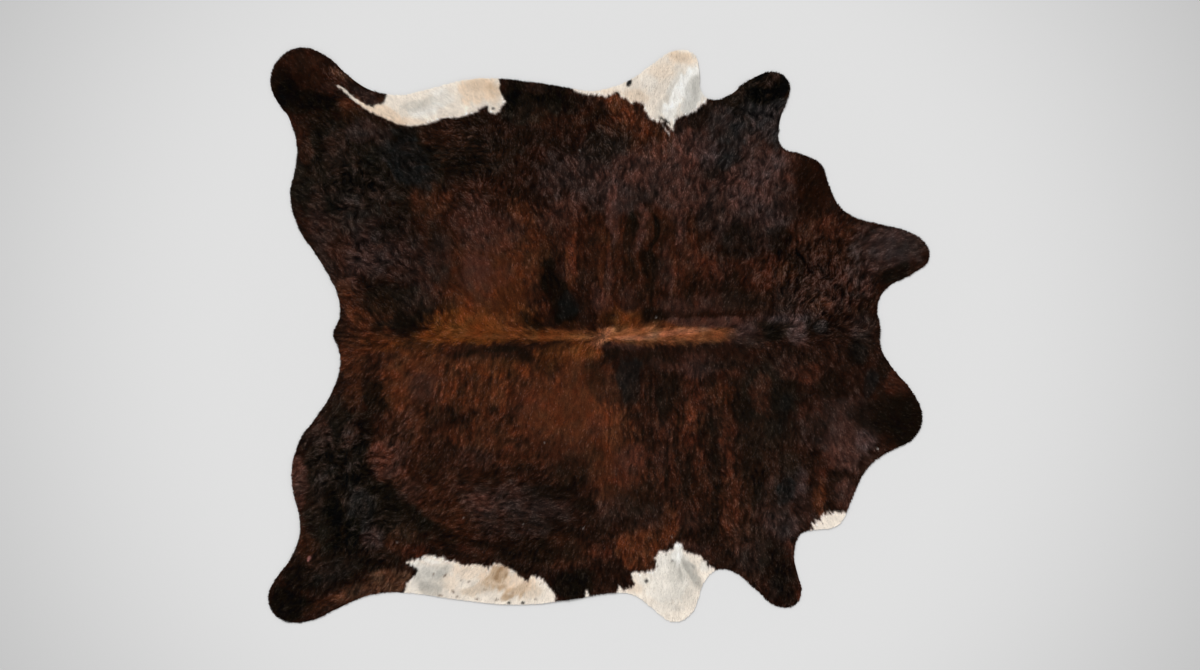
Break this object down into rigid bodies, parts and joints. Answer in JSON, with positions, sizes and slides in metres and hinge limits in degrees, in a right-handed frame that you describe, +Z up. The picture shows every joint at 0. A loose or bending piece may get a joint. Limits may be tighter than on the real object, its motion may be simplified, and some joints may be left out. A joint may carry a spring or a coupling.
{
  "type": "cowhide rug",
  "caption": "Whole trimmed cowhide lying flat, with leg lobes and pale belly flaps, dark brindled hair side up.",
  "frame": {"origin": "on the floor, under the middle of the hide's bounding box", "axes": "+X along the spine towards the neck, +Y to the upper flank in the picture, +Z up out of the hair side"},
  "size_m": [2.132, 1.853, 0.0062],
  "materials": {
    "hide": "short dark brown brindled hair with white belly patches, soft sheen, pale suede flesh side"
  },
  "bodies": {
    "root": {"cowhide": "hide"}
  },
  "joints": []
}
